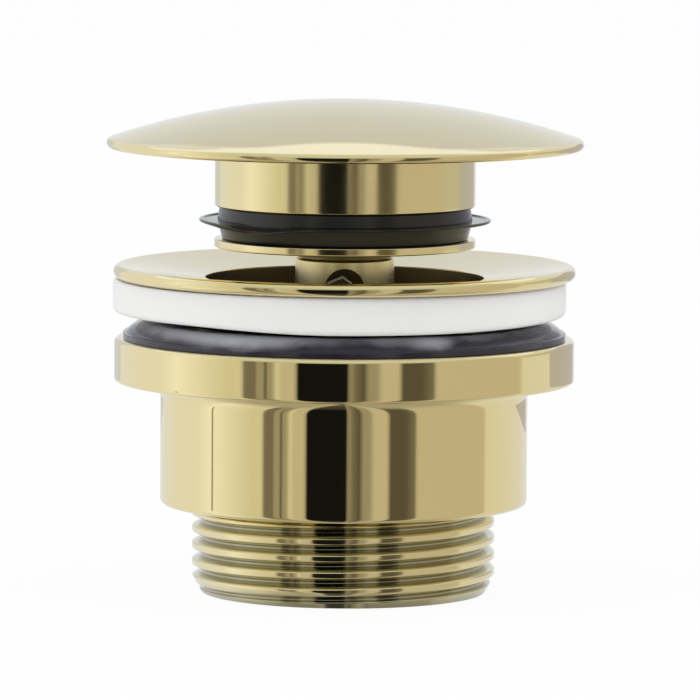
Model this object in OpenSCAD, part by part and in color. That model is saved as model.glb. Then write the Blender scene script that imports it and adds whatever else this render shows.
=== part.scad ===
// Gold pop up basin waste: a sprung plug that clicks open and shut in a G 1 1/4 drain body.
// The tail's end face is at z = 0 on the axis, +Z is up, sizes are in millimetres.
// The plug stands open, as it does when water may drain.

/* [Thread, G 1 1/4] */
// Crest diameter of the male thread
thread_d = 41.91; // [41.4:0.01:42.2]
// Distance from one turn to the next
thread_pitch = 2.309; // [2.2:0.001:2.4]
// Depth of the thread
thread_depth = 1.479; // [1.3:0.001:1.5]
// Width of the flat on a crest and in a root
thread_flat = 0.385; // [0.3:0.005:0.45]
// Gap between the male and the female thread
thread_gap = 0.14; // [0.1:0.01:0.2]

/* [Tail body] */
// Length of the threaded tail under the sleeve
tail_l = 12.2; // [10:0.1:20]
// Bore of the tail, where the water leaves
tail_bore_d = 35.6; // [30:0.1:36]
// Diameter of the tail's end face, inside its lead-in
tail_end_d = 39; // [37:0.1:40]
// Height of the lead-in at the tail's end
tail_lead_h = 2.3; // [1:0.1:3]
// Height of the relief between thread and sleeve
relief_h = 0.9; // [0.6:0.1:2]
// How much the relief stands out from the thread's root
relief_step = 0.2; // [0.1:0.05:0.4]
// Diameter of the sleeve
sleeve_d = 50.8; // [48:0.1:56]
// Height of the sleeve
sleeve_h = 17; // [12:0.1:30]
// How far the edge of the ring at the top of the body lies inside the flange's edge
ring_inset = 0.15; // [0:0.05:3]
// Height of the ring
ring_h = 6; // [4:0.1:10]
// Round on the sleeve's lower edge
sleeve_round = 0.7; // [0.2:0.1:1.5]
// Hollow round where the sleeve meets the ring
sleeve_cove = 1.5; // [0.5:0.1:3]
// Round on the ring's edges
ring_round = 0.35; // [0.1:0.05:1]
// Height of the ledge that stops the flange's shank, above the tail
ledge_h = 2.1; // [1.5:0.1:5]

/* [Gaskets] */
// How far the black under-basin gasket's edge lies inside the ring's edge
black_inset = 1.2; // [0.5:0.05:3]
// Height of the black gasket
black_gasket_h = 2.45; // [2:0.05:5]
// Height of the upright band at the black gasket's foot
black_band_h = 0.78; // [0.4:0.01:1.5]
// Radius of the black gasket's rounded shoulder
black_shoulder_r = 3.9; // [3:0.1:6]
// How far the white gasket's edge lies inside the flange's edge
white_inset = 0.65; // [0.1:0.05:2]
// Height of the white gasket at its outer edge
white_gasket_h = 5.2; // [3:0.1:8]
// Round on the white gasket's edges
white_round = 0.6; // [0.2:0.1:1.2]
// How far the loose white gasket lies to the left of the axis
white_shift = 0.7; // [0:0.05:0.9]
// Gap left between the two gaskets, which the basin fills
gasket_gap = 0.6; // [0.3:0.05:20]
// Radial gap between a gasket and the shank
gasket_play = 0.95; // [0.3:0.05:1.5]

/* [Flange] */
// Diameter of the flange
flange_d = 63.9; // [60:0.1:72]
// Thickness of the flange at its round rim
rim_t = 1.85; // [1.5:0.05:3]
// Diameter of the opening in the dish
opening_d = 38.7; // [38:0.1:40]
// How far the dish drops from the rim to the opening
dish_drop = 1.7; // [1:0.05:2.5]
// Bore of the threaded shank
shank_bore_d = 36.8; // [36.6:0.1:37.4]
// Depth of the slope from the opening down to the shank's bore
throat_h = 1.4; // [0.8:0.1:3]
// Lead-in at the shank's end
shank_lead = 1; // [0.5:0.1:1.3]
// Gap between the shank's end and the ledge in the body
shank_end_gap = 0.2; // [0.1:0.05:1]

/* [Plug] */
// How far the plug drops from open to shut
plug_travel = 7.5; // [5:0.1:8]
// Gap left between the shut seal and the dish
seat_gap = 0.08; // [0.03:0.01:0.3]
// Diameter of the seal's thin lip
lip_d = 40.5; // [39.6:0.1:43]
// Thickness of the lip
lip_t = 0.4; // [0.3:0.05:0.8]
// Height of the seal under its lip
seal_lower_h = 2.35; // [1.5:0.05:4]
// Height of the seal from the lip's foot to its top
seal_upper_h = 2.6; // [1.5:0.05:4]
// Diameter of the seal at its top and bottom
seal_d = 34.6; // [33:0.1:36]
// Diameter of the seal next to its lip
seal_root_d = 35.2; // [33.5:0.1:36]
// Diameter of the core that the seal sits on
seal_core_d = 30; // [24:0.1:32]
// Diameter of the disc that holds the seal
disc_d = 36.1; // [35:0.1:36.2]
// Thickness of the disc
disc_t = 1.15; // [0.8:0.05:2]
// Round on the disc's edge
disc_round = 0.2; // [0.1:0.05:0.35]
// Diameter of the neck between seal and cap
neck_d = 36; // [35:0.1:38]
// Height of the neck that shows under the cap's rim
neck_h = 7.3; // [5:0.1:12]
// Round on the edges of the neck and of the barrel
neck_round = 0.3; // [0.1:0.05:0.6]
// Thickness of the neck's wall
neck_wall = 2; // [1.5:0.1:4]
// Thickness of the web across the neck
neck_web_t = 2; // [1.5:0.1:3]
// Diameter of the domed cap
cap_d = 65.9; // [60:0.1:75]
// Thickness of the cap's shell and round rim
cap_t = 1.6; // [1.2:0.1:2.5]
// Rise of the dome from the middle of the rim to the top
dome_rise = 6.1; // [4:0.1:10]
// Diameter of the boss inside the cap
boss_d = 16; // [13:0.1:20]

/* [Click mechanism] */
// Diameter of the barrel
barrel_d = 13.7; // [13:0.1:15]
// Length of the barrel
barrel_l = 25.9; // [25:0.1:27]
// Height of the narrower collar between barrel and disc
collar_h = 1.5; // [0.8:0.1:3]
// Diameter of that collar
collar_d = 12.8; // [11.5:0.1:13]
// Diameter of the barrel's bore
barrel_bore_d = 10.6; // [10.4:0.1:11]
// Depth of solid barrel above the straight bore
barrel_head_h = 5.85; // [5.5:0.05:7]
// Diameter of the cross hole for a tommy bar
cross_hole_d = 5.4; // [3:0.1:6]
// Depth of the cross hole's axis below the barrel's top
cross_hole_drop = 3.75; // [3:0.05:4.5]
// Diameter of the stud that screws into the cap
stud_d = 10; // [8:0.1:11]
// Length of that stud inside the cap's boss
stud_grip = 6.5; // [5:0.1:7]
// Extra push past the shut position that lets the latch go
overtravel = 1.2; // [0.8:0.1:1.5]
// Turn of the index rotor on a full push, in degrees
push_turn = 60; // [50:1:66]
// Wall of the two cam tubes
cam_wall = 1; // [0.8:0.05:1.1]
// Thickness of the lower cam's guide floor
cam_floor_t = 1.5; // [1:0.1:2.5]
// Diameter of the rotor's two lugs
lug_d = 1.8; // [1.4:0.1:2]
// Height of the rotor
rotor_h = 2.4; // [2.2:0.1:3]
// Gap between the rotor and the cam tubes round it
rotor_play = 0.25; // [0.2:0.05:0.5]
// Gap between a lug's end and the barrel's bore
lug_play = 0.25; // [0.2:0.05:0.5]
// How much the tips of the cam teeth are flattened
tooth_flat = 0.1; // [0.05:0.05:0.3]
// Height of the barrel's foot under the circlip
barrel_foot_h = 0.5; // [0.4:0.05:1]
// Thickness of the circlip in the barrel's foot
circlip_t = 0.7; // [0.5:0.05:1]
// How deep the circlip sits in the barrel's wall
circlip_grip = 0.4; // [0.2:0.05:0.6]
// How far the circlip stands into the bore
circlip_lip = 0.9; // [0.5:0.05:1.2]
// Gap between the circlip's ends
circlip_gap = 3; // [2:0.1:5]
// Thickness of the rubber wiper above the circlip
wiper_t = 0.7; // [0.5:0.05:1.2]
// Diameter of the stem's guide shaft
stem_d = 6; // [5:0.1:6.4]
// Diameter of the stem's neck, which carries the rotor
stem_neck_d = 4; // [3.4:0.1:4.4]
// Diameter of the stem's lower stud
stem_stud_d = 8; // [7:0.1:8.2]
// Thickness of the spring's seat washer
seat_washer_t = 0.5; // [0.3:0.05:0.8]
// Thickness of the clip on the stem's neck
e_clip_t = 0.5; // [0.4:0.05:0.7]
// Depth of the clip's groove in the stem's neck
e_clip_groove = 0.45; // [0.3:0.05:0.6]
// Opening of the clip
e_clip_gap = 2.6; // [2:0.1:3]
// Height of the stem's tip above the clip
stem_tip_h = 0.6; // [0.4:0.1:1]
// Height of the stem's shoulder above the cup's floor
stem_shoulder_h = 0.9; // [0.5:0.1:1.2]
// Length of the stem's stud that stands out of the locknut
stud_end_l = 0.6; // [0.3:0.1:1.5]
// Thickness of the upper cam's floor, which the spring pushes on
upper_seat_t = 0.6; // [0.4:0.05:1]
// Diameter of the spring's wire
spring_wire_d = 0.55; // [0.4:0.05:0.6]
// Number of turns in the spring
spring_turns = 5.5; // [4:0.5:6]

/* [Bridge and locknut] */
// Number of arms on the bridge
arm_count = 4; // [3:1:5]
// Width of an arm
arm_w = 2.6; // [2:0.1:4]
// Height of the arms and of the bridge's outer ring
arm_h = 3.5; // [2.5:0.1:5]
// How far the arms lie back from the faces of the ring
arm_inset = 0.3; // [0.1:0.05:0.6]
// How deep the bridge is let into the shank's wall
bridge_step = 0.3; // [0.2:0.05:0.4]
// Wall of the bridge's outer ring and of its cup
bridge_wall = 1.5; // [1.2:0.1:1.8]
// Thickness of the cup's floor
cup_floor_t = 3; // [2.5:0.1:4]
// Width across the flats of the locknut
nut_af = 13; // [12:0.1:14]
// Height of the locknut
nut_h = 4; // [3:0.1:5]
// Diameter of the washer under the cup
lock_washer_d = 16; // [14:0.1:17]
// Thickness of that washer
lock_washer_t = 0.8; // [0.6:0.1:1.5]

/* [Clearances] */
// Gap of parts that are screwed or pressed together
fit_gap = 0.05; // [0.02:0.01:0.1]
// Gap of parts that turn or slide on each other
run_gap = 0.08; // [0.05:0.01:0.1]
// Gap of parts that pass each other freely
free_gap = 0.4; // [0.3:0.05:0.6]
// Gap around the rotor's lugs in the cam track
track_gap = 0.15; // [0.1:0.01:0.2]

/* [Hidden] */
$fn = 120;

// Colours of the finishes
gold = [0.86, 0.74, 0.42];
dark_brass = [0.62, 0.5, 0.26];
steel = [0.72, 0.73, 0.75];
black_rubber = [0.12, 0.12, 0.14];
white_plastic = [0.95, 0.95, 0.93];
cream_plastic = [0.9, 0.88, 0.8];

// Overlaps that keep a cut clean
cut = 1;
skim = 0.1;
// Steps round one turn of a thread, and round the cam track
thread_steps = 36;
track_step = 5;
probe_step = 1;

// Thread radii
thread_r = thread_d / 2;
root_r = thread_r - thread_depth;
flank_w = (thread_pitch - 2 * thread_flat) / 2;

// Heights from the tail's end up to the flange
ring_z = tail_l + sleeve_h;
body_top_z = ring_z + ring_h;
ledge_z = tail_l + ledge_h;
runout_z = ledge_z + thread_pitch;
black_top_z = body_top_z + black_gasket_h;
white_z = black_top_z + gasket_gap;
flange_z = white_z + white_gasket_h;
rim_r = rim_t / 2;
rim_z = flange_z + rim_r;
crest_r = flange_d / 2 - rim_r;
ring_r = flange_d / 2 - ring_inset;
sleeve_r = sleeve_d / 2;
crest_z = flange_z + rim_t;
opening_z = crest_z - dish_drop;
dish_slope = dish_drop / (crest_r - opening_d / 2);
shank_end_z = ledge_z + shank_end_gap;

// Heights of the plug, worked up from the seat on the dish
seat_z = opening_z + (lip_d - opening_d) / 2 * dish_slope;
lip_z = seat_z + plug_travel + seat_gap;
disc_top_z = lip_z - seal_lower_h;
disc_z = disc_top_z - disc_t;
neck_z = lip_z + seal_upper_h;
cap_rim_z = neck_z + neck_h + cap_t / 2;
dome_top_z = cap_rim_z + dome_rise;
web_top_z = neck_z + neck_web_t;

// The dome is a ball cap that runs smoothly into the round rim
edge_r = cap_t / 2;
edge_x = cap_d / 2 - edge_r;
dome_r = (edge_x ^ 2 + dome_rise ^ 2 - edge_r ^ 2) / (2 * dome_rise - 2 * edge_r);
dome_z = dome_top_z - dome_r;
under_r = dome_r - cap_t;

// Heights of the mechanism, worked down from the disc
barrel_top_z = disc_z - collar_h;
barrel_z = barrel_top_z - barrel_l;
bore_top_z = barrel_top_z - barrel_head_h;
drill_slope = tan(31);
cross_hole_z = barrel_top_z - cross_hole_drop;
stud_top_z = web_top_z + stud_grip;
circlip_z = barrel_z + barrel_foot_h;
wiper_z = circlip_z + circlip_t;
cam_z = wiper_z + wiper_t;
cam_floor_z = cam_z + cam_floor_t;
rotor_z = cam_floor_z + free_gap;
lug_z = rotor_z + rotor_h / 2;
rotor_top_z = rotor_z + rotor_h;
seat_washer_z = rotor_top_z + run_gap;
spring_z = seat_washer_z + seat_washer_t;
e_clip_z = spring_z + run_gap;
stem_top_z = e_clip_z + e_clip_t + stem_tip_h;
spring_top_z = bore_top_z - upper_seat_t;
stroke = plug_travel + overtravel;
cam_r = barrel_bore_d / 2 - fit_gap;
cam_in_r = cam_r - cam_wall;
rotor_r = cam_in_r - rotor_play;
spring_r = cam_in_r - free_gap - spring_wire_d / 2;
cup_floor_z = barrel_z - stroke - free_gap;
cup_in_r = barrel_d / 2 + free_gap;
cup_r = cup_in_r + bridge_wall;
cup_z = cup_floor_z - cup_floor_t;
nut_z = cup_z - lock_washer_t - nut_h;
stud_end_z = nut_z - stud_end_l;
stem_shoulder_z = cup_floor_z + stem_shoulder_h;
bridge_r = shank_bore_d / 2 + bridge_step;
e_clip_groove_r = stem_neck_d / 2 - e_clip_groove;
bridge_top_z = shank_end_z + arm_h;

// The track of one lug: angle in degrees and lift above its open rest, repeated twice a turn
pocket_turn = 18;
track = [[0, 0], [push_turn, stroke], [push_turn + pocket_turn, plug_travel],
  [push_turn + 2 * pocket_turn, stroke], [180, 0]];
track_half_w = lug_d / 2 + track_gap;
track_reach = track_half_w / cam_in_r * 180 / PI;

function track_lift(a) = lookup(a - 180 * floor(a / 180), track);
function bulge(s) = sqrt(max(0, track_half_w ^ 2 - (cam_in_r * s * PI / 180) ^ 2));
function track_floor(a) = lug_z
  + min([for (s = [-track_reach : probe_step : track_reach]) track_lift(a + s) - bulge(s)]);
function track_roof(a) = lug_z
  + max([for (s = [-track_reach : probe_step : track_reach]) track_lift(a + s) + bulge(s)]);

// Two triangles for each side of a swept solid, between ring a and ring b of m points
function skin(a, b, m) = [for (j = [0 : m - 1]) each let (k = (j + 1) % m)
  [[a + j, b + j, b + k], [a + j, b + k, a + k]]];

// A right-hand helix swept from the outline, which is a list of [radius, height] points
module helix(outline, z0, z1, start_z) {
  m = len(outline);
  n = ceil((z1 - z0) / thread_pitch * thread_steps);
  points = [for (i = [0 : n]) each
    let (z = z0 + i * thread_pitch / thread_steps, a = 360 * (z - start_z) / thread_pitch)
    [for (p = outline) [p[0] * cos(a), p[0] * sin(a), p[1] + z]]];
  sides = [for (i = [0 : n - 1]) each skin(i * m, (i + 1) * m, m)];
  first = [for (j = [0 : m - 1]) j];
  last = [for (j = [m - 1 : -1 : 0]) n * m + j];
  polyhedron(points, concat(sides, [first, last]), convexity = 20);
}

// The groove that leaves a male thread standing on a cylinder of the crest radius
module male_groove(z0, z1) {
  half_root = thread_flat / 2;
  out_r = thread_r + skim;
  half_out = half_root + flank_w * (out_r - root_r) / thread_depth;
  outline = [[root_r, -half_root], [root_r, half_root], [out_r, half_out], [out_r + cut, half_out],
    [out_r + cut, -half_out], [out_r, -half_out]];
  helix(outline, z0, z1, shank_end_z);
}

// The groove that the male ridge runs in, half a pitch further on
module female_groove(z0, z1) {
  deep_r = thread_r + thread_gap;
  in_r = root_r + thread_gap - skim;
  half_deep = thread_flat / 2 + thread_gap;
  half_in = half_deep + flank_w * (deep_r - in_r) / thread_depth;
  outline = [[in_r - cut, -half_in], [in_r - cut, half_in], [in_r, half_in], [deep_r, half_deep],
    [deep_r, -half_deep], [in_r, -half_in]];
  helix(outline, z0, z1, shank_end_z - thread_pitch / 2);
}

// Half section of a turned bar whose outer edges are rounded
module bar_section(r0, r1, z0, z1, round_low, round_high) {
  translate([r0, z0]) square([r1 - r0 - max(round_low, round_high), z1 - z0]);
  translate([r0, z0 + round_low]) square([r1 - r0, z1 - z0 - round_low - round_high]);
  translate([r1 - round_low, z0 + round_low]) circle(round_low);
  translate([r1 - round_high, z1 - round_high]) circle(round_high);
}

module tube(r0, r1, z0, z1) {
  rotate_extrude() translate([r0, z0]) square([r1 - r0, z1 - z0]);
}

// A closed ring whose lower side follows one function of the angle and whose upper side another
module wavy_ring(r0, r1, low, high) {
  n = len(low);
  points = [for (i = [0 : n - 1]) each let (c = cos(i * track_step), s = sin(i * track_step))
    [[r0 * c, r0 * s, low[i]], [r0 * c, r0 * s, high[i]], [r1 * c, r1 * s, high[i]],
    [r1 * c, r1 * s, low[i]]]];
  polyhedron(points, [for (i = [0 : n - 1]) each skin(i * 4, (i + 1) % n * 4, 4)], convexity = 10);
}

module dome_cap() {
  color(gold) difference() {
    union() {
      rotate_extrude() {
        intersection() {
          difference() {
            translate([0, dome_z]) circle(dome_r, $fn = 720);
            translate([0, dome_z]) circle(under_r, $fn = 720);
          }
          polygon([[0, dome_z], [edge_x, cap_rim_z],
            [edge_x, cap_rim_z] + [edge_x, cap_rim_z - dome_z] * (dome_rise / dome_r),
            [0, dome_top_z + cut]]);
        }
        translate([edge_x, cap_rim_z]) circle(edge_r);
      }
      cylinder_between(boss_d / 2, web_top_z, dome_top_z - cap_t);
    }
    cylinder_between(stud_d / 2 + fit_gap, web_top_z - cut, stud_top_z + cut);
  }
}

module plug_neck() {
  top_z = dome_z + sqrt(under_r ^ 2 - (neck_d / 2) ^ 2) - fit_gap;
  color(gold) difference() {
    union() {
      rotate_extrude() bar_section(0, neck_d / 2, neck_z, top_z, neck_round, neck_round);
      cylinder_between(seal_core_d / 2, disc_top_z, neck_z + neck_round);
    }
    cylinder_between(neck_d / 2 - neck_wall, web_top_z, top_z + cut);
    cylinder_between(stud_d / 2 + fit_gap, disc_top_z - cut, web_top_z + cut);
  }
}

module plug_seal() {
  core_r = seal_core_d / 2 + fit_gap;
  color(black_rubber) rotate_extrude() {
    polygon([[core_r, disc_top_z], [seal_d / 2, disc_top_z], [seal_root_d / 2, lip_z],
      [seal_root_d / 2, lip_z + lip_t], [seal_d / 2, neck_z], [core_r, neck_z]]);
    translate([core_r, lip_z]) square([(lip_d - lip_t) / 2 - core_r, lip_t]);
    translate([(lip_d - lip_t) / 2, lip_z + lip_t / 2]) circle(d = lip_t);
  }
}

module seal_disc() {
  bore_r = stud_d / 2 + fit_gap;
  color(gold)
    rotate_extrude() bar_section(bore_r, disc_d / 2, disc_z, disc_top_z, disc_round, disc_round);
}

module mechanism_barrel() {
  color(gold) difference() {
    union() {
      rotate_extrude() bar_section(0, barrel_d / 2, barrel_z, barrel_top_z, neck_round, neck_round);
      cylinder_between(collar_d / 2, barrel_top_z - cut, disc_z);
      cylinder_between(stud_d / 2, disc_z - cut, stud_top_z);
    }
    cylinder_between(barrel_bore_d / 2, barrel_z - cut, bore_top_z);
    translate([0, 0, bore_top_z])
      cylinder(r1 = barrel_bore_d / 2, r2 = 0, h = barrel_bore_d / 2 * drill_slope);
    translate([0, 0, cross_hole_z]) rotate([90, 0, 0])
      cylinder(d = cross_hole_d, h = 2 * barrel_d, center = true);
    cylinder_between(barrel_bore_d / 2 + circlip_grip + fit_gap, circlip_z, circlip_z + circlip_t);
  }
}

module cylinder_between(r, z0, z1) {
  translate([0, 0, z0]) cylinder(r = r, h = z1 - z0);
}

module lower_cam() {
  angles = [0 : track_step : 360 - track_step];
  floor_z = [for (a = angles) track_floor(a)];
  top = max(floor_z) + cut;
  color(cream_plastic) difference() {
    union() {
      tube(cam_in_r, cam_r, cam_z, max(floor_z) - tooth_flat);
      tube(stem_d / 2 + run_gap, cam_in_r + cam_wall / 2, cam_z, cam_floor_z);
    }
    wavy_ring(cam_in_r - cut, cam_r + cut, floor_z, [for (a = angles) top]);
  }
}

module upper_cam() {
  angles = [0 : track_step : 360 - track_step];
  roof_z = [for (a = angles) track_roof(a)];
  bottom = min(roof_z) - cut;
  color(cream_plastic) difference() {
    union() {
      tube(cam_in_r, cam_r, min(roof_z) + tooth_flat, bore_top_z);
      tube(stem_neck_d / 2 + free_gap, cam_in_r + cam_wall / 2, spring_top_z, bore_top_z);
    }
    wavy_ring(cam_in_r - cut, cam_r + cut, [for (a = angles) bottom], roof_z);
  }
}

module barrel_circlip() {
  bore_r = barrel_bore_d / 2;
  color(steel) difference() {
    tube(bore_r - circlip_lip, bore_r + circlip_grip, circlip_z, circlip_z + circlip_t);
    translate([0, -circlip_gap / 2, circlip_z - cut]) cube([barrel_d, circlip_gap, circlip_t + 2 * cut]);
  }
}

module stem_wiper() {
  color(black_rubber) tube(stem_d / 2 + run_gap, cam_r, wiper_z, cam_z);
}

// Wire coil: its end turns lie close, its middle turns are open
module return_spring() {
  wire_r = spring_wire_d / 2;
  sides = 8;
  steps = 20;
  n = spring_turns * steps;
  low = spring_z + wire_r;
  high = spring_top_z - wire_r;
  function rise(t) = t * t * (3 - 2 * t);
  points = [for (i = [0 : n]) each
    let (t = i / n, a = 360 * i / steps, z = low + (high - low) * rise(t))
    [for (j = [0 : sides - 1]) let (b = 360 * j / sides, r = spring_r + wire_r * cos(b))
    [r * cos(a), r * sin(a), z - wire_r * sin(b)]]];
  sides_skin = [for (i = [0 : n - 1]) each skin(i * sides, (i + 1) * sides, sides)];
  first = [for (j = [0 : sides - 1]) j];
  last = [for (j = [sides - 1 : -1 : 0]) n * sides + j];
  color(steel) polyhedron(points, concat(sides_skin, [first, last]), convexity = 10);
}

module index_rotor() {
  lug_out_r = barrel_bore_d / 2 - lug_play;
  color(cream_plastic) difference() {
    union() {
      cylinder_between(rotor_r, rotor_z, rotor_top_z);
      translate([0, 0, lug_z]) rotate([0, 90, 0]) cylinder(d = lug_d, h = 2 * lug_out_r, center = true);
    }
    cylinder_between(stem_neck_d / 2 + run_gap, rotor_z - cut, rotor_top_z + cut);
  }
}

module spring_seat_washer() {
  color(steel) tube(stem_neck_d / 2 + fit_gap, rotor_r, seat_washer_z, spring_z);
}

module rotor_e_clip() {
  out_r = spring_r - spring_wire_d / 2 - 2 * fit_gap;
  color(steel) difference() {
    tube(e_clip_groove_r + fit_gap, out_r, e_clip_z, e_clip_z + e_clip_t);
    translate([0, -e_clip_gap / 2, e_clip_z - cut]) cube([barrel_d, e_clip_gap, e_clip_t + 2 * cut]);
  }
}

module stem() {
  color(dark_brass) difference() {
    union() {
      cylinder_between(stem_stud_d / 2, stud_end_z, stem_shoulder_z);
      cylinder_between(stem_d / 2, stem_shoulder_z - cut, rotor_z - run_gap);
      cylinder_between(stem_neck_d / 2, rotor_z - cut, stem_top_z);
    }
    tube(e_clip_groove_r, stem_neck_d, e_clip_z - fit_gap, e_clip_z + e_clip_t + fit_gap);
  }
}

module stem_lock_washer() {
  color(steel) tube(stem_stud_d / 2 + fit_gap, lock_washer_d / 2, cup_z - lock_washer_t, cup_z);
}

module stem_locknut() {
  color(steel) difference() {
    translate([0, 0, nut_z]) cylinder(d = nut_af / cos(30), h = nut_h, $fn = 6);
    cylinder_between(stem_stud_d / 2 + fit_gap, nut_z - cut, nut_z + nut_h + cut);
  }
}

// Height of the flange's sloping underside at a radius
function under_z(r) = flange_z - (crest_r - r) * dish_slope;

module flange() {
  bore_r = shank_bore_d / 2;
  open_r = opening_d / 2;
  color(gold) difference() {
    rotate_extrude() {
      translate([crest_r, rim_z]) circle(rim_r);
      polygon([[bore_r, shank_end_z], [thread_r - shank_lead, shank_end_z],
        [thread_r, shank_end_z + shank_lead], [thread_r, under_z(thread_r)], [crest_r, flange_z],
        [crest_r, crest_z], [open_r, opening_z], [bore_r, opening_z - throat_h]]);
    }
    male_groove(shank_end_z - thread_pitch, white_z + cut);
    cylinder_between(bridge_r + fit_gap, shank_end_z - cut, bridge_top_z);
  }
}

module mechanism_bridge() {
  ring_in_r = bridge_r - bridge_wall;
  arm_x = cup_in_r + bridge_wall / 2;
  arm_l = ring_in_r + bridge_wall / 2 - arm_x;
  hole_r = stem_stud_d / 2 + fit_gap;
  color(dark_brass) union() {
    tube(ring_in_r, bridge_r, shank_end_z, bridge_top_z);
    rotate_extrude() polygon([[hole_r, cup_z], [cup_r, cup_z], [cup_r, bridge_top_z],
      [cup_in_r, bridge_top_z], [cup_in_r, cup_floor_z], [hole_r, cup_floor_z]]);
    for (i = [0 : arm_count - 1])
      rotate(i * 360 / arm_count + 45)
        translate([arm_x, -arm_w / 2, shank_end_z + arm_inset])
          cube([arm_l, arm_w, arm_h - 2 * arm_inset]);
  }
}

module white_gasket() {
  bore_r = thread_r + gasket_play;
  r = flange_d / 2 - white_inset;
  color(white_plastic) difference() {
    translate([-white_shift, 0]) rotate_extrude()
      bar_section(bore_r, r, white_z, flange_z, white_round, white_round);
    rotate_extrude() polygon([[0, under_z(0) - fit_gap], [r + cut, under_z(r + cut) - fit_gap],
      [r + cut, crest_z], [0, crest_z]]);
    tube(crest_r - rim_r, crest_r + rim_r, rim_z - rim_r - fit_gap, crest_z);
  }
}

module black_gasket() {
  bore_r = thread_r + gasket_play / 2;
  r = ring_r - black_inset;
  arc_z = black_top_z - black_shoulder_r;
  arc_x = r - sqrt(black_shoulder_r ^ 2 - (body_top_z - arc_z) ^ 2);
  color(black_rubber) rotate_extrude() intersection() {
    union() {
      translate([bore_r, body_top_z]) square([r - bore_r, black_band_h]);
      translate([bore_r, body_top_z]) square([arc_x - bore_r, black_gasket_h]);
      translate([arc_x, arc_z]) circle(black_shoulder_r);
    }
    translate([bore_r, body_top_z]) square([r - bore_r, black_gasket_h]);
  }
}

module tail_body() {
  bore_r = tail_bore_d / 2;
  female_r = root_r + thread_gap;
  relief_r = root_r + relief_step;
  color(gold) difference() {
    rotate_extrude() {
      polygon([[bore_r, 0], [tail_end_d / 2, 0], [thread_r, tail_lead_h], [thread_r, tail_l - relief_h],
        [relief_r, tail_l - relief_h], [relief_r, tail_l + cut], [bore_r, tail_l + cut]]);
      bar_section(bore_r, sleeve_r, tail_l, ring_z + ring_h / 2, sleeve_round, sleeve_round);
      bar_section(bore_r, ring_r, ring_z, body_top_z, ring_round, ring_round);
      difference() {
        translate([sleeve_r - skim, ring_z - sleeve_cove]) square([sleeve_cove + skim, sleeve_cove + skim]);
        translate([sleeve_r + sleeve_cove, ring_z - sleeve_cove]) circle(sleeve_cove);
      }
    }
    male_groove(-thread_pitch, tail_l - relief_h / 2);
    cylinder_between(female_r, ledge_z, body_top_z + cut);
    cylinder_between(thread_r + 2 * thread_gap, ledge_z, runout_z);
    female_groove(runout_z - thread_pitch / 2, body_top_z + thread_pitch);
  }
}

dome_cap();
plug_neck();
plug_seal();
seal_disc();
mechanism_barrel();
upper_cam();
lower_cam();
barrel_circlip();
stem_wiper();
return_spring();
index_rotor();
spring_seat_washer();
rotor_e_clip();
stem();
stem_lock_washer();
stem_locknut();
flange();
mechanism_bridge();
white_gasket();
black_gasket();
tail_body();
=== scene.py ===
# %% [markdown]
# # A gold pop up basin waste
# The waste of a wash basin: press the domed cap and it drops and seals, press again and a spring
# lifts it. Almost every piece is turned on a lathe, so this lesson builds one lathe out of
# Geometry Nodes and feeds it profiles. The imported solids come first: they fix size and place.

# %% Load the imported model
import math

import bmesh
import bpy
from mathutils import Matrix, Vector


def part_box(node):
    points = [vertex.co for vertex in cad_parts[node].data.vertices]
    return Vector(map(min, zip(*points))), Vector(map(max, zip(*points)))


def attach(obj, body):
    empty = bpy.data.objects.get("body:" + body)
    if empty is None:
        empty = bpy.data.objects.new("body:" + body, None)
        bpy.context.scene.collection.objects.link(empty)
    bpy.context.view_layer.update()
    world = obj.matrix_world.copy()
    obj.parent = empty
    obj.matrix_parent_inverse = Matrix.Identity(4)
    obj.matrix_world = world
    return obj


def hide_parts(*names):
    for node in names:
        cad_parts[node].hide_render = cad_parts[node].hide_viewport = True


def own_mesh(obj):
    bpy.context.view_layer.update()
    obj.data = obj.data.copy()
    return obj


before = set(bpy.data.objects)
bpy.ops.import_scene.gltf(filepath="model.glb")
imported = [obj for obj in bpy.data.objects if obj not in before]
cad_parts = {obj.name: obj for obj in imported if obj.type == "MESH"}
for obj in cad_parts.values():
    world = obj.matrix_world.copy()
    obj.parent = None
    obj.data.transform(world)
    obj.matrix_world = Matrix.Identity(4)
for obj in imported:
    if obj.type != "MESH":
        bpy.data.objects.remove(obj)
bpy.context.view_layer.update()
MM = 0.001

# %% [markdown]
# ## The camera
# A product photograph like this one is taken from far away with a long lens, so that round
# pieces keep nearly the same ellipse from top to bottom. The camera stands about a metre in
# front, a little above the cap, and is tilted by a fraction of a degree as in the picture.

# %% Camera
CAMERA_PLACE = Vector((0.80, -960.0, 126.0)) * MM
CAMERA_AIM = Vector((0.80, 0.0, 33.44)) * MM
CAMERA_LENS = 358.6
CAMERA_ROLL = math.radians(0.35)


def new_object(name, data):
    """A new object in the scene, from a mesh, a lamp or a camera."""
    made = bpy.data.objects.new(name, data)
    bpy.context.collection.objects.link(made)
    return made


camera_data = bpy.data.cameras.new("camera")
camera_data.lens = CAMERA_LENS
camera_data.sensor_width = 36.0
camera_data.clip_start = 0.01
camera_data.clip_end = 20.0
camera = new_object("camera", camera_data)
look = (CAMERA_AIM - CAMERA_PLACE).to_track_quat("-Z", "Y").to_matrix().to_4x4()
camera.matrix_world = Matrix.Translation(CAMERA_PLACE) @ look @ Matrix.Rotation(CAMERA_ROLL, 4, "Z")
bpy.context.scene.camera = camera
bpy.context.scene.view_settings.view_transform = "Standard"
print("camera at", [round(v, 4) for v in camera.location])

# %% [markdown]
# ## The studio
# Polished metal has hardly any colour of its own: it shows the room. The room here is a tent of
# white walls with darker gaps, and the gap that the lens looks through is black. It is painted
# on the world by compass direction, and only reflections see it. The eye of the camera sees
# plain white, and diffuse surfaces get plain white light.

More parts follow.
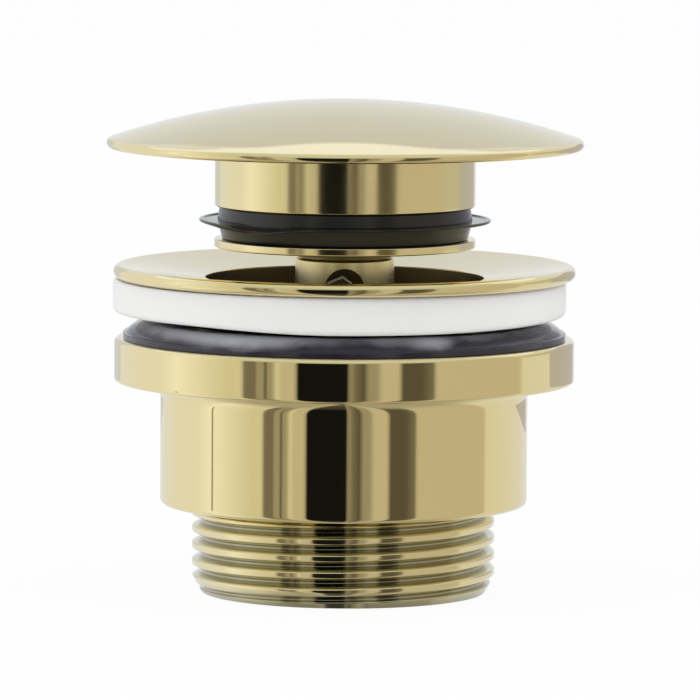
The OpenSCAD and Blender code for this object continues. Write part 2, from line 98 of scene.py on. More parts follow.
# %% Helpers for node trees
def put(tree, kind, inputs=None, **settings):
    """A new node. inputs maps a socket's name or number to a value or to another socket."""
    made = tree.nodes.new(kind)
    for key, value in settings.items():
        setattr(made, key, value)
    for key, value in (inputs or {}).items():
        feed(tree, made.inputs[key], value)
    return made


def feed(tree, socket, value):
    """Links a socket to another one, or sets its value."""
    if isinstance(value, bpy.types.NodeSocket):
        tree.links.new(value, socket)
    else:
        socket.default_value = value


def calc(tree, operation, *values, clamp=False):
    """One math node, and its result."""
    made = put(tree, "ShaderNodeMath", dict(enumerate(values)), operation=operation, use_clamp=clamp)
    return made.outputs[0]


def ramp(tree, factor, stops, interpolation="LINEAR"):
    """A colour ramp from (position, colour) stops."""
    made = put(tree, "ShaderNodeValToRGB", {0: factor})
    band = made.color_ramp
    band.interpolation = interpolation
    while len(band.elements) < len(stops):
        band.elements.new(0.5)
    for element, (place, colour) in zip(band.elements, stops):
        element.position = place
        element.color = (*colour, 1.0)
    return made.outputs["Color"]


def blend_colours(tree, factor, first, second):
    """Mixes two colours by a factor."""
    made = put(tree, "ShaderNodeMix", data_type="RGBA")
    feed(tree, made.inputs[0], factor)
    for socket, value in ((made.inputs[6], first), (made.inputs[7], second)):
        feed(tree, socket, value if isinstance(value, bpy.types.NodeSocket) else (*value, 1.0))
    return made.outputs[2]


# %% Studio walls
WHITE = (1.00, 1.00, 0.98)
BRIGHT = (0.87, 0.87, 0.85)
COOL = (0.80, 0.82, 0.90)
CREAM = (0.77, 0.75, 0.66)
WARM = (0.72, 0.69, 0.55)
BEIGE = (0.59, 0.54, 0.44)
SHADE = (0.36, 0.33, 0.25)
DIM = (0.20, 0.18, 0.14)
DARK = (0.11, 0.095, 0.07)
BLACK = (0.008, 0.008, 0.008)

# Each edge by compass, in degrees: 0 is towards the camera, plus is to its right
walls = [
    (-180, COOL), (-104, BRIGHT), (-92, WHITE), (-60, WARM), (-52.5, WARM), (-50.5, DIM), (-45, DIM),
    (-43.8, SHADE), (-40.6, SHADE), (-39.6, DARK), (-38.6, DIM), (-38, SHADE), (-36, SHADE), (-33.5, WARM),
    (-31, BEIGE), (-24.5, BEIGE), (-22.5, BLACK), (1.5, BLACK), (3.2, SHADE), (5.5, DIM), (10, DARK),
    (12.2, SHADE), (16.5, SHADE), (19, BEIGE), (27.5, BEIGE), (29, DARK), (39, DARK), (45, DIM),
    (47, BEIGE), (98, BEIGE), (101, CREAM), (180, COOL),
]

world = bpy.data.worlds.new("studio")
bpy.context.scene.world = world
world.use_nodes = True
sky = world.node_tree
sky.nodes.clear()
direction = put(sky, "ShaderNodeTexCoord").outputs["Generated"]
axes = put(sky, "ShaderNodeSeparateXYZ", {0: direction}).outputs
azimuth = calc(sky, "ARCTAN2", axes[0], calc(sky, "MULTIPLY", axes[1], -1.0))
around = calc(sky, "MULTIPLY_ADD", azimuth, 0.5 / math.pi, 0.5)
wall_colour = ramp(sky, around, [((degrees + 180.0) / 360.0, colour) for degrees, colour in walls])
print("studio walls:", len(walls))

# %% [markdown]
# Level faces such as the dome and the dish look past the walls: they show the grey paper that
# hangs behind the waste, the bright lamp box above it, the roof, and a pale screen above the lens
# in front. Each is a mask by height. Paper and lamp box are limited to the back, and the screen
# to the front. The paper has round corners, so that its reflection ends in a soft curve.

# %% Paper, lamp box, screen, roof and floor
OFF, ON = (0, 0, 0), (1, 1, 1)
ROOF = (0.68, 0.72, 0.64)
FRONT_SCREEN = (0.60, 0.61, 0.54)
LAMP_BOX = (1.00, 1.04, 1.15)
FLOOR_GLOW = (0.42, 0.40, 0.34)
LENS_SHADE = (0.15, 0.15, 0.15)
PAPER_HALF = 9.6
PAPER_TOP = 36.5
CORNER_POWER = 6.0
LAMP_BOX_TOP = 62.0


def by_height(*edges):
    """A colour from (degrees, colour) edges: 0 is the horizon, 90 is straight up."""
    return ramp(sky, lift, [((degrees + 90.0) / 180.0, colour) for degrees, colour in edges])


lift = calc(sky, "MULTIPLY_ADD", calc(sky, "ARCSINE", axes[2]), 1.0 / math.pi, 0.5)
behind = calc(sky, "MULTIPLY", calc(sky, "ABSOLUTE", calc(sky, "SUBTRACT", around, 0.5)), 2.0)
lens_side = ramp(sky, behind, [(0.10, LENS_SHADE), (0.20, ON)])
roof_part = by_height((28, OFF), (46, ON))
floor_part = calc(sky, "MULTIPLY", by_height((-60, ON), (-38, OFF)), lens_side)
front_part = calc(sky, "MULTIPLY", ramp(sky, behind, [(0.28, ON), (0.40, OFF)]), by_height((8, OFF), (26, ON)))
back_part = ramp(sky, behind, [(0.50, OFF), (0.70, ON)])
box_part = by_height((PAPER_TOP - 4, OFF), (PAPER_TOP - 2, ON), (LAMP_BOX_TOP - 6, ON), (LAMP_BOX_TOP, OFF))
paper_across = calc(sky, "MULTIPLY", calc(sky, "SUBTRACT", 1.0, behind), 180.0 / PAPER_HALF)
paper_up = calc(sky, "MULTIPLY", calc(sky, "MAXIMUM", calc(sky, "SUBTRACT", lift, 0.5), 0.0), 180.0 / PAPER_TOP)
paper_reach = calc(sky, "ADD", calc(sky, "POWER", paper_across, CORNER_POWER),
                   calc(sky, "POWER", paper_up, CORNER_POWER))
paper_part = ramp(sky, calc(sky, "MULTIPLY", paper_reach, 0.5), [(0.46, ON), (0.54, OFF)])
paper = by_height((0, (0.82, 0.85, 0.88)), (5, (0.80, 0.83, 0.86)), (10, (0.76, 0.785, 0.84)),
                  (16, (0.735, 0.76, 0.81)), (23, (0.69, 0.72, 0.785)), (34, (0.665, 0.69, 0.76)))
room = blend_colours(sky, front_part, wall_colour, FRONT_SCREEN)
room = blend_colours(sky, roof_part, room, ROOF)
room = blend_colours(sky, floor_part, room, FLOOR_GLOW)
room = blend_colours(sky, calc(sky, "MULTIPLY", box_part, back_part), room, LAMP_BOX)
room = blend_colours(sky, paper_part, room, paper)

# %% Light for each kind of ray
PLAIN_LIGHT = (0.80, 0.80, 0.80)
path = put(sky, "ShaderNodeLightPath").outputs
light = blend_colours(sky, path["Is Glossy Ray"], PLAIN_LIGHT, room)
seen = calc(sky, "MAXIMUM", path["Is Camera Ray"], path["Is Transmission Ray"])
light = blend_colours(sky, seen, light, (1.0, 1.0, 1.0))
background = put(sky, "ShaderNodeBackground", {"Color": light, "Strength": 1.0})
put(sky, "ShaderNodeOutputWorld", {"Surface": background.outputs[0]})
print("studio nodes:", len(sky.nodes))

# %% [markdown]
# A pale floor carries the waste. Reflections don't see it, so the metal shows the tent alone. Only
# the spot of floor under the open tail does show in reflections: it closes the waterway from
# below, and that is why the opening in the dish looks dark.

# %% Floor
FLOOR_HALF = 3000.0
FLOOR_DROP = 0.02
FLOOR_COLOUR = (0.93, 0.93, 0.93, 1.0)
FLOOR_WHITENESS = 0.94
SPOT_R = 19.0
SPOT_DROP = 0.01


def mesh_object(name, places, faces):
    """A new object from places in mm and the faces between them."""
    mesh = bpy.data.meshes.new(name)
    mesh.from_pydata([tuple(v * MM for v in place) for place in places], [], faces)
    return new_object(name, mesh)


def bare_material(name):
    """A new material with an empty node tree."""
    made = bpy.data.materials.new(name)
    made.use_nodes = True
    made.node_tree.nodes.clear()
    return made, made.node_tree


floor = mesh_object("floor", [(-FLOOR_HALF, -FLOOR_HALF, 0), (FLOOR_HALF, -FLOOR_HALF, 0),
                              (FLOOR_HALF, FLOOR_HALF, 0), (-FLOOR_HALF, FLOOR_HALF, 0)], [(0, 1, 2, 3)])
floor.location.z = -FLOOR_DROP * MM
floor.visible_glossy = False
floor_look, pale = bare_material("pale_floor")
matte = put(pale, "ShaderNodeBsdfDiffuse", {"Color": FLOOR_COLOUR})
glow = put(pale, "ShaderNodeEmission", {"Color": (1, 1, 1, 1), "Strength": 1.0})
rays = put(pale, "ShaderNodeLightPath").outputs
shown = calc(pale, "MAXIMUM", rays["Is Camera Ray"], rays["Is Transmission Ray"])
whitened = calc(pale, "MULTIPLY", shown, FLOOR_WHITENESS)
mixed = put(pale, "ShaderNodeMixShader", {0: whitened, 1: matte.outputs[0], 2: glow.outputs[0]})
put(pale, "ShaderNodeOutputMaterial", {"Surface": mixed.outputs[0]})
floor.data.materials.append(floor_look)

spot_mesh = bpy.data.meshes.new("floor_under_tail")
spot_shape = bmesh.new()
bmesh.ops.create_circle(spot_shape, cap_ends=True, segments=64, radius=SPOT_R * MM)
spot_shape.to_mesh(spot_mesh)
spot_shape.free()
spot = new_object("floor_under_tail", spot_mesh)
spot.location.z = -SPOT_DROP * MM
spot.visible_camera = False
spot_mesh.materials.append(floor_look)
print("floor half:", FLOOR_HALF, "spot radius:", SPOT_R)

# %% [markdown]
# The walls on the world are endlessly far away, so all heights of an upright face show the same
# band. Bands that end part of the way up come from cards that stand close by, and only
# reflections see them.

# %% Reflection cards
CARD_TOP = 95.0


def reflected_card(name, first, last, top, colour):
    """An upright card, in mm, that only reflections see. Its lower edge runs from first to last."""
    card = mesh_object(name, [first, last, (*last[:2], top), (*first[:2], top)], [(0, 1, 2, 3)])
    card.visible_camera = card.visible_shadow = card.visible_diffuse = False
    card_look, tree = bare_material(name)
    shine = put(tree, "ShaderNodeEmission", {"Color": (*colour, 1.0), "Strength": 1.0})
    put(tree, "ShaderNodeOutputMaterial", {"Surface": shine.outputs[0]})
    card.data.materials.append(card_look)
    print("card:", name)


reflected_card("dark_strip", (-120.0, -19.0, 0.0), (-120.0, -16.2, 0.0), 17.6, SHADE)
reflected_card("grey_card", (152.0, 72.0, 15.0), (70.0, 140.0, 6.0), CARD_TOP, (0.52, 0.51, 0.56))
reflected_card("upper_card", (175.0, 8.0, 34.0), (152.0, 72.0, 34.0), CARD_TOP, (0.58, 0.56, 0.48))
reflected_card("left_card", (-103.0, 122.0, 15.0), (-51.0, 146.0, 5.0), CARD_TOP, (0.67, 0.70, 0.75))

# %% [markdown]
# Two large soft lamps at the sides give the rubber and the white gasket their form. Reflections
# don't see them.

# %% Lamps
LAMP_SIZE = (0.7, 0.9)
LAMP_AIM = Vector((0, 0, 0.04))


def soft_lamp(name, place, power):
    """A large soft lamp that points at the middle of the waste and doesn't show in reflections."""
    data = bpy.data.lights.new(name, "AREA")
    data.shape = "RECTANGLE"
    data.size, data.size_y = LAMP_SIZE
    data.energy = power
    lamp = new_object(name, data)
    lamp.location = place
    lamp.rotation_euler = (LAMP_AIM - lamp.location).to_track_quat("-Z", "Y").to_euler()
    lamp.visible_glossy = False


soft_lamp("left_lamp", (-0.85, -0.35, 0.55), 3.0)
soft_lamp("right_lamp", (0.85, -0.35, 0.55), 2.4)
print("lamps:", len(bpy.data.lights))

# %% [markdown]
# ## Finishes
# Each effect that finishes share is a node group that puts out plain values. "Turning marks" are
# the faint rings that a lathe tool and the polishing wheel leave: noise read by radius and height
# alone, so it runs round the axis. "Handling" is the soft cloudiness of a surface that has been
# wiped. "Specks" is dust on rubber, in patches. "Painted sheen" is a pale reflection painted on
# rubber, in smears. "Thread root shade" tells how deep in a thread a place lies, for painted shade
# in the thread's roots.

# %% Helpers for effects
def effect_group(name, inputs, output):
    """An empty shader group with float inputs and one float output."""
    group = bpy.data.node_groups.new(name, "ShaderNodeTree")
    for socket_name, value in inputs.items():
        made = group.interface.new_socket(socket_name, in_out="INPUT", socket_type="NodeSocketFloat")
        made.default_value = value
    group.interface.new_socket(output, in_out="OUTPUT", socket_type="NodeSocketFloat")
    return group, put(group, "NodeGroupInput").outputs, put(group, "NodeGroupOutput").inputs


def object_place(tree):
    """The place on the piece, measured from the origin."""
    return put(tree, "ShaderNodeTexCoord").outputs["Object"]


def axis_distance(tree, part):
    """The distance from the axis, from the parts of a place."""
    squares = [calc(tree, "MULTIPLY", part[n], part[n]) for n in (0, 1)]
    return calc(tree, "SQRT", calc(tree, "ADD", *squares))


def noise(tree, place, scale, detail, roughness=0.5):
    """Soft random values round a half."""
    return put(tree, "ShaderNodeTexNoise", {
        "Vector": place, "Scale": scale, "Detail": detail, "Roughness": roughness}).outputs[0]


def remap(tree, value, start, end, low=0.0, high=1.0, interpolation="LINEAR"):
    """Maps start..end to low..high, and holds what lies outside."""
    made = put(tree, "ShaderNodeMapRange", {
        "Value": value, "From Min": start, "From Max": end, "To Min": low, "To Max": high},
        interpolation_type=interpolation)
    return made.outputs[0]


# %% Turning marks and handling
turning, given, result = effect_group("turning_marks", {"Fineness": 6000.0, "Fade": 60.0}, "Marks")
place = object_place(turning)
part = put(turning, "ShaderNodeSeparateXYZ", {0: place}).outputs
section = put(turning, "ShaderNodeCombineXYZ", {
    0: calc(turning, "MULTIPLY", axis_distance(turning, part), given["Fineness"]),
    1: calc(turning, "MULTIPLY", part[2], given["Fineness"])}).outputs[0]
fading = noise(turning, place, given["Fade"], 2.0)
feed(turning, result["Marks"], calc(turning, "MULTIPLY", noise(turning, section, 1.0, 3.0), fading))

handling, given, result = effect_group("handling", {"Size": 90.0, "Contrast": 2.2}, "Cloud")
clouds = noise(handling, object_place(handling), given["Size"], 5.0, 0.6)
raised = calc(handling, "MULTIPLY_ADD", calc(handling, "SUBTRACT", clouds, 0.5), given["Contrast"], 0.5)
feed(handling, result["Cloud"], calc(handling, "MAXIMUM", raised, 0.0, clamp=True))
print("effects:", turning.name, handling.name)

# %% Specks and painted sheen
PATCH_SCALE = 140.0
specks, given, result = effect_group("specks", {"Count": 900.0, "Cover": 0.12}, "Specks")
place = object_place(specks)
dots = put(specks, "ShaderNodeTexVoronoi", {"Vector": place, "Scale": given["Count"]})
near = calc(specks, "LESS_THAN", dots.outputs["Distance"], given["Cover"])
dusty = calc(specks, "GREATER_THAN", noise(specks, place, PATCH_SCALE, 2.0), 0.5)
feed(specks, result["Specks"], calc(specks, "MULTIPLY", near, dusty))

# Each smear of painted sheen by its part of a turn, from the left by way of the front, and its strength
smears = [(0.0, 0.35), (0.18, 0.95), (0.25, 0.4), (0.29, 0.6), (0.32, 0.85), (0.34, 0.4), (0.4, 0.3),
          (0.6, 0.75), (0.68, 0.3), (0.78, 0.65), (0.9, 0.4)]
SHEEN_START, SHEEN_FULL = 0.95, 1.85
SMEAR_SCALE = 220.0
SMEAR_BREAK = 0.5
# Painted sheen: a pale reflection painted on rubber by height, distance and turn
painted_sheen, given, result = effect_group("painted_sheen", {"Low": 0.0, "High": 0.01, "Inner": 0.0, "Outer": 0.01}, "Sheen")
place = object_place(painted_sheen)
part = put(painted_sheen, "ShaderNodeSeparateXYZ", {0: place}).outputs
rise = remap(painted_sheen, part[2], given["Low"], given["High"])
from_origin = put(painted_sheen, "ShaderNodeVectorMath", {0: place}, operation="LENGTH").outputs["Value"]
outward = remap(painted_sheen, from_origin, given["Inner"], given["Outer"])
turn = calc(painted_sheen, "MULTIPLY_ADD", calc(painted_sheen, "ARCTAN2", part[1], part[0]), 0.5 / math.pi, 0.5)
smear = ramp(painted_sheen, turn, [(spot_turn, (strength,) * 3) for spot_turn, strength in smears], "EASE")
uneven = calc(painted_sheen, "MULTIPLY_ADD", noise(painted_sheen, place, SMEAR_SCALE, 3.0), SMEAR_BREAK, -SMEAR_BREAK / 2)
total = calc(painted_sheen, "ADD", calc(painted_sheen, "MULTIPLY_ADD", rise, outward, smear), uneven)
feed(painted_sheen, result["Sheen"], remap(painted_sheen, total, SHEEN_START, SHEEN_FULL, interpolation="SMOOTHSTEP"))
print("effects:", specks.name, painted_sheen.name, "smears:", len(smears))

# %% Painted shade in thread roots
root_shade, given, result = effect_group("thread_root_shade", {"Root": 0.0197, "Crest": 0.0209}, "Depth")
part = put(root_shade, "ShaderNodeSeparateXYZ", {0: object_place(root_shade)}).outputs
feed(root_shade, result["Depth"], remap(root_shade, axis_distance(root_shade, part), given["Crest"], given["Root"]))
print("effect:", root_shade.name)

# %% [markdown]
# All the gold is one plating, but how it was finished under the plating differs: polished cap and
# body, turned neck, satin barrel. A dark gold is painted shade inside and under other pieces, and
# the thread's roots get painted shade too. A metal's look is its colour, its gloss and the marks in
# its bump, so one function makes them all from those values.

# %% Metals
MARKS_STRENGTH = 0.25


def finish(name):
    """A new material with a Principled shader, and the tools to feed it."""
    made = bpy.data.materials.new(name)
    made.use_nodes = True
    tree = made.node_tree
    return made, tree, tree.nodes["Principled BSDF"]


def effect(tree, group, **values):
    """Places a shared effect with its own values, and gives its output."""
    made = put(tree, "ShaderNodeGroup", node_tree=group)
    for key, value in values.items():
        made.inputs[key].default_value = value
    return made.outputs[0]


def span(tree, value, low, high):
    """Maps 0..1 to low..high."""
    return remap(tree, value, 0.0, 1.0, low, high)


def bump(tree, shader, height, strength, depth):
    """Feeds a bump of some depth to the shader's normal."""
    made = put(tree, "ShaderNodeBump", {"Height": height, "Strength": strength, "Distance": depth})
    feed(tree, shader.inputs["Normal"], made.outputs[0])


def metal(name, colour, shade, rough, marks_depth, fineness, groove=None):
    """A metal with turning marks in its bump and gloss, and a cloudy change of tone. A groove is
    a root radius, a crest radius and the colour of painted shade in a thread's root."""
    made, tree, shader = finish(name)
    marks = effect(tree, turning, Fineness=fineness)
    cloud = effect(tree, handling)
    base = blend_colours(tree, cloud, colour, shade)
    if groove:
        # Painted shade: the thread's roots darken towards the groove's colour
        depth = effect(tree, root_shade, Root=groove[0] * MM, Crest=groove[1] * MM)
        base = blend_colours(tree, depth, base, groove[2])
    feed(tree, shader.inputs["Base Color"], base)
    gloss = calc(tree, "ADD", span(tree, cloud, *rough), span(tree, marks, 0.0, rough[1] - rough[0]))
    feed(tree, shader.inputs["Roughness"], gloss)
    shader.inputs["Metallic"].default_value = 1.0
    bump(tree, shader, marks, MARKS_STRENGTH, marks_depth * MM)
    return made


GOLD = (0.885, 0.775, 0.46)
GOLD_SHADE = (0.865, 0.755, 0.44)
gold = metal("gold_plating", GOLD, GOLD_SHADE, (0.02, 0.045), 0.001, 5000.0)
neck_gold = metal("lathe_gold", GOLD, GOLD_SHADE, (0.09, 0.14), 0.002, 6000.0)
satin_gold = metal("satin_gold", (0.97, 0.89, 0.62), (0.94, 0.86, 0.58), (0.20, 0.32), 0.006, 7000.0)
# A dark gold that is painted shade, for the insides and the places under other pieces where shade falls
shade_painted_gold = metal("painted_shade_gold", (0.24, 0.19, 0.10), (0.20, 0.16, 0.08), (0.25, 0.38), 0.006, 7000.0)
# The thread's gold, with painted shade in its roots
thread_gold_shaded_roots = metal("thread_gold_shaded_roots", (0.86, 0.775, 0.50), (0.84, 0.755, 0.48), (0.04, 0.10), 0.004, 7000.0,
                    (19.9, 20.85, (0.46, 0.44, 0.32)))
brass = metal("machined_brass", (0.62, 0.47, 0.22), (0.52, 0.38, 0.17), (0.18, 0.32), 0.02, 9000.0)
steel = metal("plain_steel", (0.62, 0.61, 0.59), (0.50, 0.50, 0.49), (0.16, 0.28), 0.01, 9000.0)
print("materials so far:", len(bpy.data.materials))

# %% [markdown]
# The seal and the black gasket are smooth rubber with a satin skin, and they pick up dust. A pale
# reflection is painted in smears on the black gasket's shoulder. The white gasket and the moulded
# pieces are plastic, and the white one lets a little light in.

# %% Rubber and plastic
# The colour of the pale reflection painted on the black gasket
PAINTED_SHEEN = (0.60, 0.61, 0.68)
DUST = (0.4, 0.4, 0.42)


def rubber(name, colour, shade, rough, dust, pale=None):
    """Smooth black rubber with a cloudy change of tone and a few pale specks. Where a pale
    reflection is painted on it, pale gives the heights and the distances from the origin in mm
    between which it whitens."""
    made, tree, shader = finish(name)
    cloud = effect(tree, handling, Size=150.0)
    base = blend_colours(tree, cloud, colour, shade)
    if pale:
        sheen = effect(tree, painted_sheen, **{key: value * MM for key, value in pale.items()})
        base = blend_colours(tree, sheen, base, PAINTED_SHEEN)
    dusted = calc(tree, "MULTIPLY", effect(tree, specks), dust)
    feed(tree, shader.inputs["Base Color"], blend_colours(tree, dusted, base, DUST))
    feed(tree, shader.inputs["Roughness"], span(tree, cloud, *rough))
    bump(tree, shader, noise(tree, object_place(tree), 2500.0, 2.0), 0.15, 0.01 * MM)
    return made


seal_rubber = rubber("seal_rubber", (0.008, 0.008, 0.010), (0.013, 0.013, 0.016), (0.17, 0.27), 0.06)
lip_rubber = rubber("lip_rubber", (0.011, 0.012, 0.016), (0.018, 0.019, 0.026), (0.06, 0.12), 0.04)
# The black gasket gets painted sheen: pale reflection smears near the top of its shoulder
gasket_rubber = rubber("gasket_rubber", (0.018, 0.016, 0.026), (0.028, 0.025, 0.040), (0.05, 0.12), 0.05,
                       {"Low": 35.5, "High": 37.6, "Inner": 45.0, "Outer": 46.8})


def plastic(name, colour, shade, rough, translucent=0.0):
    """Moulded plastic with a soft surface and a slight change of tone."""
    made, tree, shader = finish(name)
    shader.inputs["Subsurface Weight"].default_value = translucent
    shader.inputs["Subsurface Radius"].default_value = (1.0, 1.0, 0.95)
    shader.inputs["Subsurface Scale"].default_value = 4.0 * MM
    cloud = effect(tree, handling, Size=60.0, Contrast=1.5)
    feed(tree, shader.inputs["Base Color"], blend_colours(tree, cloud, colour, shade))
    feed(tree, shader.inputs["Roughness"], span(tree, cloud, *rough))
    bump(tree, shader, noise(tree, object_place(tree), 1400.0, 3.0), 0.2, 0.02 * MM)
    return made


white_plastic = plastic("soft_white", (0.86, 0.86, 0.845), (0.83, 0.83, 0.815), (0.40, 0.52), 0.7)
acetal = plastic("moulded_acetal", (0.80, 0.77, 0.66), (0.74, 0.70, 0.58), (0.35, 0.45))
print("materials in all:", len(bpy.data.materials))

# %% [markdown]
# ## The lathe
# A turned piece is one half section spun round the axis. The Geometry Nodes lathe lays a grid
# with one column for each step round the axis and one row for each point of the section, and
# moves every grid point to its radius and height. Spin in edit mode would do the same once;
# the tree can be fed with any section, and keeps each point of it exactly.

# %% Lathe tree
WELD = 0.001


def geometry_tree(name, sizes):
    """An empty geometry tree with a section, named sizes and a finish as inputs."""
    tree = bpy.data.node_groups.new(name, "GeometryNodeTree")
    tree.interface.new_socket("Geometry", in_out="INPUT", socket_type="NodeSocketGeometry")
    for size_name, kind in sizes:
        tree.interface.new_socket(size_name, in_out="INPUT", socket_type=kind)
    tree.interface.new_socket("Finish", in_out="INPUT", socket_type="NodeSocketMaterial")
    tree.interface.new_socket("Geometry", in_out="OUTPUT", socket_type="NodeSocketGeometry")
    return tree, put(tree, "NodeGroupInput").outputs, put(tree, "NodeGroupOutput").inputs


def close_tree(tree, shape, finish_socket, result):
    """Welds the seam, shades smooth, realizes and sets the finish."""
    welded = put(tree, "GeometryNodeMergeByDistance", {"Geometry": shape, "Distance": WELD * MM})
    smooth = put(tree, "GeometryNodeSetShadeSmooth", {"Geometry": welded.outputs[0]})
    real = put(tree, "GeometryNodeRealizeInstances", {"Geometry": smooth.outputs[0]})
    done = put(tree, "GeometryNodeSetMaterial", {"Geometry": real.outputs[0], "Material": finish_socket})
    feed(tree, result["Geometry"], done.outputs[0])


def grid_numbers(tree, rows):
    """Column and row number of each grid point."""
    index = put(tree, "GeometryNodeInputIndex").outputs[0]
    column = calc(tree, "FLOOR", calc(tree, "DIVIDE", calc(tree, "ADD", index, 0.5), rows))
    row = calc(tree, "SUBTRACT", index, calc(tree, "MULTIPLY", column, rows))
    return column, row


def turn_to(tree, grid, angle, radius, height):
    """Moves the grid's points to their place round the axis."""
    spot = put(tree, "ShaderNodeCombineXYZ", {
        0: calc(tree, "MULTIPLY", radius, calc(tree, "COSINE", angle)),
        1: calc(tree, "MULTIPLY", radius, calc(tree, "SINE", angle)), 2: height})
    return put(tree, "GeometryNodeSetPosition", {"Geometry": grid, "Position": spot.outputs[0]}).outputs[0]


lathe, given, result = geometry_tree("lathe", [("Steps", "NodeSocketInt")])
count = put(lathe, "GeometryNodeAttributeDomainSize", {0: given["Geometry"]}).outputs["Point Count"]
grid = put(lathe, "GeometryNodeMeshGrid", {
    "Vertices X": calc(lathe, "ADD", given["Steps"], 1.0), "Vertices Y": count})
column, row = grid_numbers(lathe, count)
point = put(lathe, "GeometryNodeSampleIndex", {"Geometry": given["Geometry"], "Index": row},
            data_type="FLOAT_VECTOR")
feed(lathe, point.inputs["Value"], put(lathe, "GeometryNodeInputPosition").outputs[0])
spot = put(lathe, "ShaderNodeSeparateXYZ", {0: point.outputs[0]}).outputs
angle = calc(lathe, "DIVIDE", calc(lathe, "MULTIPLY", column, 2.0 * math.pi), given["Steps"])
close_tree(lathe, turn_to(lathe, grid.outputs["Mesh"], angle, spot[0], spot[2]), given["Finish"], result)
print("lathe nodes:", len(lathe.nodes))

# %% [markdown]
# A section is written as a list of corners, each with its rounding, as on a drawing. Smooth
# shading bends the light near a corner, so each straight run gets a point close to both its ends,
# which keeps it looking flat.

# %% Sections
SHORT_RUN = 0.3
GUARD = 0.2
GUARD_SHARE = 0.25


def section_of(corners, closed=True, steps=7):
    """Points of a half section. A corner is (radius, height) or (radius, height, round) in mm."""
    total = len(corners)
    runs = []
    for n, corner in enumerate(corners):
        here = Vector(corner[:2])
        rounding = corner[2] if len(corner) > 2 else 0.0
        inner = closed or 0 < n < total - 1
        if rounding <= 0.0 or not inner:
            runs.append([here])
            continue
        before = (Vector(corners[n - 1][:2]) - here).normalized()
        after = (Vector(corners[(n + 1) % total][:2]) - here).normalized()
        half = before.angle(after) / 2.0
        reach = rounding / math.tan(half)
        centre = here + (before + after).normalized() * (rounding / math.sin(half))
        first = here + before * reach - centre
        last = here + after * reach - centre
        sweep = first.angle_signed(last)
        runs.append([centre + Matrix.Rotation(-sweep * k / steps, 2) @ first for k in range(steps + 1)])
    points = []
    for n, run in enumerate(runs):
        points.extend(run)
        if n + 1 < total or closed:
            start, end = run[-1], runs[(n + 1) % total][0]
            length = (end - start).length
            near = min(GUARD, GUARD_SHARE * length)
            if length > SHORT_RUN:
                points.append(start.lerp(end, near / length))
                points.append(start.lerp(end, 1.0 - near / length))
    if closed:
        points.append(points[0])
    return points


def arc(centre_r, centre_z, radius, start, end, steps):
    """Arc points. Angles are in degrees from straight up, clockwise."""
    angles = [math.radians(start + (end - start) * k / steps) for k in range(steps + 1)]
    return [Vector((centre_r + radius * math.sin(a), centre_z + radius * math.cos(a))) for a in angles]


# %% [markdown]
# The tree's result is read back as a plain mesh, because the pieces that are handed on carry no
# modifiers. Faces are then turned outwards, and a piece is tied to the moving body and to the
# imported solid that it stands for.

# %% From tree to piece
STEPS_ROUND = 160
SLIVER = 0.0005


def run_tree(name, tree, points, sizes, material):
    """Puts the tree on a new object, reads the result as a plain mesh and drops the modifier."""
    made = mesh_object(name, [(p[0], 0.0, p[1]) for p in points], [])
    mesh = made.data
    modifier = made.modifiers.new(name, "NODES")
    modifier.node_group = tree
    for item in tree.interface.items_tree:
        if item.in_out == "INPUT" and item.name in sizes:
            modifier[item.identifier] = sizes[item.name]
        if item.in_out == "INPUT" and item.name == "Finish":
            modifier[item.identifier] = material
    view = bpy.context.evaluated_depsgraph_get()
    solid = bpy.data.meshes.new_from_object(made.evaluated_get(view))
    made.modifiers.remove(modifier)
    made.data = solid
    bpy.data.meshes.remove(mesh)
    solid.name = name
    solid.materials.clear()
    solid.materials.append(material)
    solid.polygons.foreach_set("material_index", [0] * len(solid.polygons))
    return made


def refinish(piece, material, test):
    """Gives another finish to the faces whose distance from the axis and height in mm pass a test."""
    piece.data.materials.append(material)
    for face in piece.data.polygons:
        if test(math.hypot(face.center.x, face.center.y) / MM, face.center.z / MM):
            face.material_index = len(piece.data.materials) - 1


def face_outwards(made):
    """Welds what meets and turns all faces outwards."""
    shape = bmesh.new()
    shape.from_mesh(made.data)
    bmesh.ops.remove_doubles(shape, verts=shape.verts, dist=WELD * MM)
    bmesh.ops.dissolve_degenerate(shape, edges=shape.edges, dist=SLIVER * MM)
    bmesh.ops.recalc_face_normals(shape, faces=shape.faces)
    shape.to_mesh(made.data)
    shape.free()
    made.data.update()
    return made


def turned(name, points, material, steps=STEPS_ROUND):
    """A finished turned piece."""
    return face_outwards(run_tree(name, lathe, points, {"Steps": steps}, material))


def turned_size(node):
    """A turned node's radius, bottom and top, in mm."""
    low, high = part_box(node)
    return high.x / MM, low.z / MM, high.z / MM


def stands_for(piece, body, slot, *nodes):
    """The piece moves with a body and shows in place of CAD nodes. The slot is not used."""
    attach(piece, body)
    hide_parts(*nodes)
    print(piece.name, "faces:", len(piece.data.polygons))


# %% [markdown]
# ## The domed cap
# The cap is a shallow dome, part of a ball of about 100 mm radius, that runs without a crease
# into a round rim. Its shell is as thick as the rim. A boss inside takes the barrel's stud.

